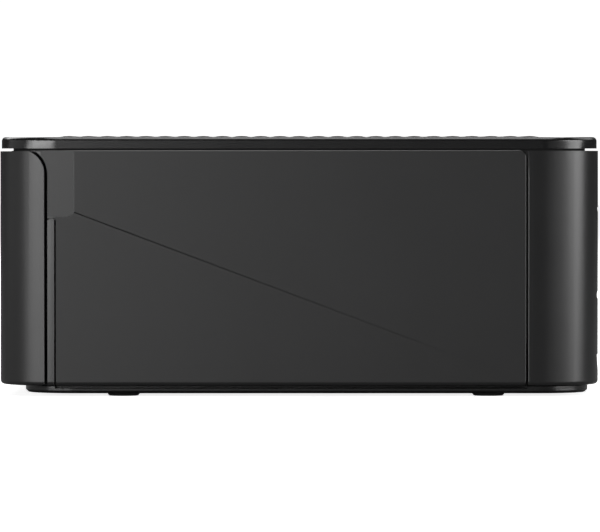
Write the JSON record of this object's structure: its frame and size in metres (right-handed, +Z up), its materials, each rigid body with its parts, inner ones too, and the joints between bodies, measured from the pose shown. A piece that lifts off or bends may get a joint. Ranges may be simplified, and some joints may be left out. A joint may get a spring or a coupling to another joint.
{
  "type": "compact photo printer",
  "caption": "Compact desktop photo printer with hinged front paper cover, side ink door, rippled top with screen and keys, and its thermal print mechanism inside.",
  "frame": {"origin": "centre of the bounding box at the feet's lower faces", "axes": "+X along the print width towards the ink door, -Y the paper front, +Z up"},
  "size_m": [0.1822, 0.133, 0.0576],
  "materials": {
    "charcoal_shell": "fine satin grain",
    "lid_black": "glossy, rippled",
    "screen_glass": "gloss, dark tint",
    "screen_back": "dark",
    "key_black": "soft gloss",
    "tray_black": "textured",
    "foot_rubber": "matte",
    "steel": "bright",
    "zinc_plate": "zinc plated sheet",
    "motor_can": "plated",
    "gear_white": "moulded",
    "bush_dark": "moulded",
    "roller_rubber": "ground",
    "guide_black": "moulded",
    "ceramic": "glazed",
    "sink_aluminium": "extruded",
    "brass": "turned",
    "cassette_grey": "moulded",
    "spool_white": "moulded",
    "ink_film": "wound film",
    "lever_orange": "moulded",
    "fan_black": "moulded",
    "board_green": "solder mask",
    "chip_black": "moulded",
    "socket_black": "moulded",
    "socket_steel": "tinned"
  },
  "bodies": {
    "printer_body": {"base_tray": "tray_black", "board_chips": "chip_black", "body_shell": "charcoal_shell", "card_slot": "socket_steel", "chassis_bridge": "zinc_plate", "chassis_plate_left": "zinc_plate", "chassis_plate_right": "zinc_plate", "dc_jack": "socket_black", "fan_frame": "fan_black", "feed_motor": "motor_can", "hinge_pins": "steel", "io_board": "board_green", "key_board": "board_green", "main_board": "board_green", "motor_bracket": "zinc_plate", "paper_deck": "guide_black", "pickup_shaft": "steel", "ribbon_motor": "motor_can", "roller_bushes": "bush_dark", "rubber_feet": "foot_rubber", "screen_module": "screen_back", "screen_window": "screen_glass", "top_cover": "lid_black", "tray_screws": "steel", "usb_socket": "socket_steel"},
    "front_cover": {"front_cover": "charcoal_shell"},
    "ink_door": {"ink_door": "charcoal_shell"},
    "ok_key": {"ok_key": "key_black"},
    "right_key": {"right_key": "key_black"},
    "up_key": {"up_key": "key_black"},
    "left_key": {"left_key": "key_black"},
    "down_key": {"down_key": "key_black"},
    "home_key": {"home_key": "key_black"},
    "edit_key": {"edit_key": "key_black"},
    "back_key": {"back_key": "key_black"},
    "print_key": {"print_key": "key_black"},
    "power_key": {"power_key": "key_black"},
    "capstan": {"capstan_roller": "steel", "capstan_gear": "gear_white"},
    "pinch": {"pinch_roller": "steel"},
    "platen": {"platen_shaft": "steel", "platen_sleeve": "roller_rubber"},
    "pickup_arm": {"pickup_arm": "guide_black"},
    "pickup_roller": {"pickup_roller": "roller_rubber"},
    "print_head": {"thermal_head": "ceramic", "head_sink": "sink_aluminium", "head_carriage": "guide_black"},
    "lift_shaft": {"lift_shaft": "gear_white"},
    "reduction_gear": {"reduction_gear": "gear_white"},
    "feed_pinion": {"feed_pinion": "brass"},
    "ribbon_pinion": {"ribbon_pinion": "brass"},
    "takeup_spindle": {"takeup_spindle": "gear_white"},
    "supply_spindle": {"supply_spindle": "gear_white"},
    "ink_cassette": {"cassette_shell": "cassette_grey"},
    "supply_spool": {"supply_spool": "spool_white", "supply_film": "ink_film"},
    "takeup_spool": {"takeup_spool": "spool_white", "takeup_film": "ink_film"},
    "eject_lever": {"eject_lever": "lever_orange"},
    "fan_rotor": {"fan_rotor": "fan_black"}
  },
  "joints": [
    {"name": "front_cover_hinge", "type": "hinge", "parent": "printer_body", "child": "front_cover", "pos_m": [0, -0.0639, 0.0052], "axis": [1, 0, 0], "range_deg": [0, 88]},
    {"name": "ink_door_hinge", "type": "hinge", "parent": "printer_body", "child": "ink_door", "pos_m": [0.0885, 0, 0.0052], "axis": [0, 1, 0], "range_deg": [0, 88]},
    {"name": "ok_key_press", "type": "slide", "parent": "printer_body", "child": "ok_key", "axis": [0, 0, -1], "range_m": [0, 0.0006], "stiffness_N_per_m": 300},
    {"name": "right_key_press", "type": "slide", "parent": "printer_body", "child": "right_key", "axis": [0, 0, -1], "range_m": [0, 0.0006], "stiffness_N_per_m": 300},
    {"name": "up_key_press", "type": "slide", "parent": "printer_body", "child": "up_key", "axis": [0, 0, -1], "range_m": [0, 0.0006], "stiffness_N_per_m": 300},
    {"name": "left_key_press", "type": "slide", "parent": "printer_body", "child": "left_key", "axis": [0, 0, -1], "range_m": [0, 0.0006], "stiffness_N_per_m": 300},
    {"name": "down_key_press", "type": "slide", "parent": "printer_body", "child": "down_key", "axis": [0, 0, -1], "range_m": [0, 0.0006], "stiffness_N_per_m": 300},
    {"name": "home_key_press", "type": "slide", "parent": "printer_body", "child": "home_key", "axis": [0, 0, -1], "range_m": [0, 0.0006], "stiffness_N_per_m": 300},
    {"name": "edit_key_press", "type": "slide", "parent": "printer_body", "child": "edit_key", "axis": [0, 0, -1], "range_m": [0, 0.0006], "stiffness_N_per_m": 300},
    {"name": "back_key_press", "type": "slide", "parent": "printer_body", "child": "back_key", "axis": [0, 0, -1], "range_m": [0, 0.0006], "stiffness_N_per_m": 300},
    {"name": "print_key_press", "type": "slide", "parent": "printer_body", "child": "print_key", "axis": [0, 0, -1], "range_m": [0, 0.0006], "stiffness_N_per_m": 300},
    {"name": "power_key_press", "type": "slide", "parent": "printer_body", "child": "power_key", "axis": [0, 0, -1], "range_m": [0, 0.0006], "stiffness_N_per_m": 300},
    {"name": "capstan_spin", "type": "hinge", "parent": "printer_body", "child": "capstan", "pos_m": [0.006, -0.031, 0.0142], "axis": [1, 0, 0], "continuous": true},
    {"name": "pinch_spin", "type": "hinge", "parent": "printer_body", "child": "pinch", "pos_m": [0.006, -0.031, 0.02095], "axis": [1, 0, 0], "continuous": true},
    {"name": "platen_spin", "type": "hinge", "parent": "printer_body", "child": "platen", "pos_m": [0.006, 0.01, 0.012], "axis": [1, 0, 0], "continuous": true},
    {"name": "pickup_swing", "type": "hinge", "parent": "printer_body", "child": "pickup_arm", "pos_m": [0.006, -0.03, 0.036], "axis": [1, 0, 0], "range_deg": [-12, 9]},
    {"name": "pickup_roller_spin", "type": "hinge", "parent": "pickup_arm", "child": "pickup_roller", "pos_m": [0.006, -0.046, 0.0255], "axis": [1, 0, 0], "continuous": true},
    {"name": "head_lower", "type": "slide", "parent": "printer_body", "child": "print_head", "axis": [0, 0, -1], "range_m": [0, 0.006]},
    {"name": "lift_turn", "type": "hinge", "parent": "printer_body", "child": "lift_shaft", "pos_m": [0.006, 0.0168, 0.037], "axis": [1, 0, 0], "range_deg": [-1.5, 83.9]},
    {"name": "reducer_spin", "type": "hinge", "parent": "printer_body", "child": "reduction_gear", "pos_m": [0.006, -0.0241, 0.02615], "axis": [1, 0, 0], "continuous": true},
    {"name": "feed_motor_spin", "type": "hinge", "parent": "printer_body", "child": "feed_pinion", "pos_m": [0.006, -0.03932, 0.03169], "axis": [1, 0, 0], "continuous": true},
    {"name": "ribbon_motor_spin", "type": "hinge", "parent": "printer_body", "child": "ribbon_pinion", "pos_m": [0.006, 0.0022, 0.033], "axis": [1, 0, 0], "continuous": true},
    {"name": "takeup_spindle_spin", "type": "hinge", "parent": "printer_body", "child": "takeup_spindle", "pos_m": [0.006, -0.011, 0.033], "axis": [1, 0, 0], "continuous": true},
    {"name": "supply_spindle_spin", "type": "hinge", "parent": "printer_body", "child": "supply_spindle", "pos_m": [0.006, 0.036, 0.033], "axis": [1, 0, 0], "continuous": true},
    {"name": "cassette_eject", "type": "slide", "parent": "printer_body", "child": "ink_cassette", "axis": [1, 0, 0], "range_m": [0, 0.002]},
    {"name": "supply_spool_spin", "type": "hinge", "parent": "ink_cassette", "child": "supply_spool", "pos_m": [0.006, 0.036, 0.033], "axis": [1, 0, 0], "continuous": true},
    {"name": "takeup_spool_spin", "type": "hinge", "parent": "ink_cassette", "child": "takeup_spool", "pos_m": [0.006, -0.011, 0.033], "axis": [1, 0, 0], "continuous": true},
    {"name": "lever_turn", "type": "hinge", "parent": "printer_body", "child": "eject_lever", "pos_m": [0.0795, -0.03, 0.031], "axis": [0, 0, -1], "range_deg": [-0.5, 17.6]},
    {"name": "fan_spin", "type": "hinge", "parent": "printer_body", "child": "fan_rotor", "pos_m": [-0.0685, 0.06, 0.0332], "axis": [0, 1, 0], "continuous": true}
  ],
  "couplings": [
    {"joint": "reducer_spin", "follows": "capstan_spin", "ratio": -2.2857},
    {"joint": "feed_motor_spin", "follows": "capstan_spin", "ratio": 6.5306},
    {"joint": "ribbon_motor_spin", "follows": "takeup_spool_spin", "ratio": -2.1429},
    {"joint": "takeup_spindle_spin", "follows": "takeup_spool_spin", "ratio": 1},
    {"joint": "supply_spindle_spin", "follows": "supply_spool_spin", "ratio": 1},
    {"joint": "lift_turn", "follows": "head_lower", "rad_per_m": 238.1},
    {"joint": "lever_turn", "follows": "cassette_eject", "rad_per_m": 147}
  ]
}
